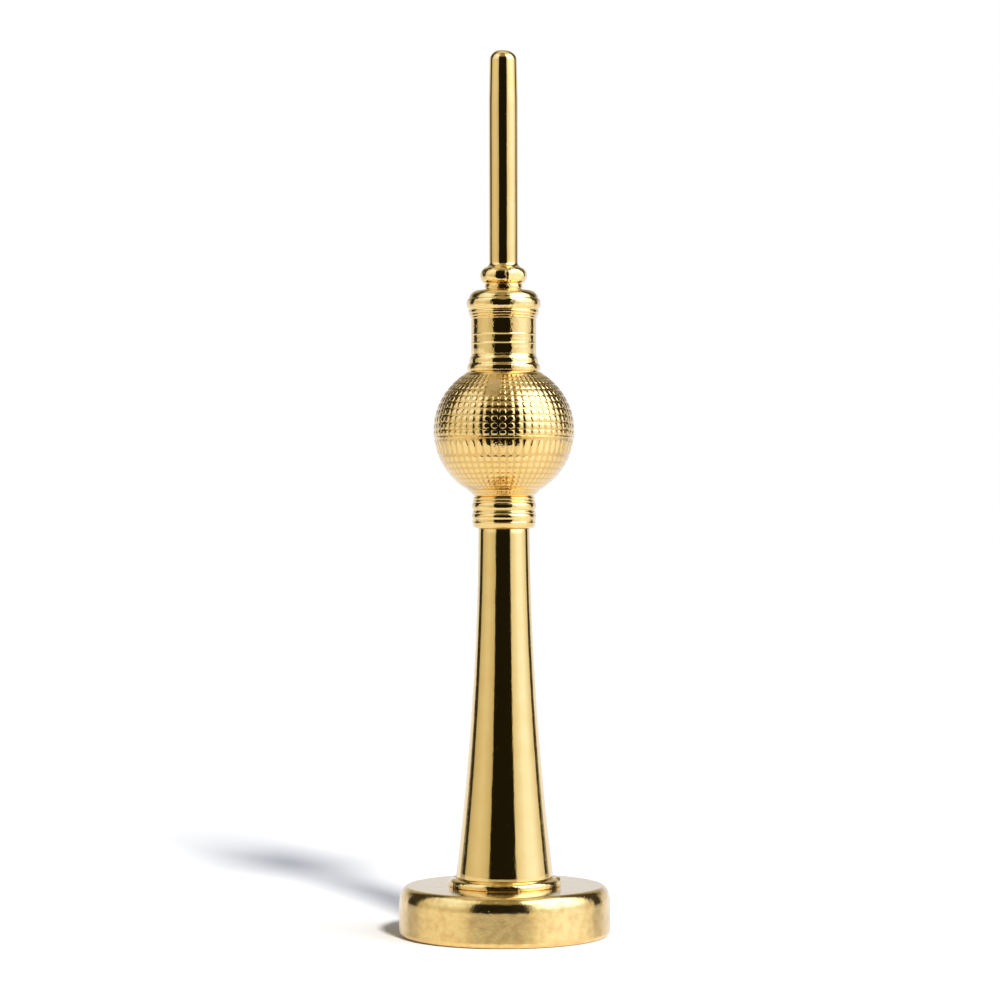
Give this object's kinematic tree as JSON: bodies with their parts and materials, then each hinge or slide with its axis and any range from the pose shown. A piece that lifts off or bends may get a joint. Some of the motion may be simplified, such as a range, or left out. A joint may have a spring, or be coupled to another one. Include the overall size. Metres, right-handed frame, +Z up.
{
  "type": "souvenir figurine",
  "caption": "Gold souvenir tower: rounded antenna rod, capped drum, grid-textured ball, ringed collar and flared polished shaft on a round base.",
  "frame": {"origin": "centre of the felt pad's underside, on the surface that the figurine stands on", "axes": "+Z up along the tower's axis; every piece but the hexagonal nut is turned about it"},
  "size_m": [0.0334, 0.0334, 0.14],
  "materials": {
    "polished_gold": "gold plate over a mirror-polished surface",
    "cast_gold": "gold plate over an embossed casting",
    "satin_gold": "satin gold plate over a slightly pitted casting",
    "zinc_plated_steel": "bright zinc plate",
    "turned_brass": "bare turned brass",
    "felt": "pressed wool felt"
  },
  "bodies": {
    "root": {"antenna_rod": "polished_gold", "antenna_socket": "polished_gold", "drum_cap": "polished_gold", "drum": "polished_gold", "drum_foot_ring": "polished_gold", "ball_upper_half": "cast_gold", "ball_lower_half": "cast_gold", "collar": "polished_gold", "shaft": "polished_gold", "shaft_foot_ring": "polished_gold", "base_disc": "satin_gold", "tie_rod": "zinc_plated_steel", "hex_nut": "zinc_plated_steel", "washer": "zinc_plated_steel", "locating_bush": "turned_brass", "felt_pad": "felt"}
  },
  "joints": []
}
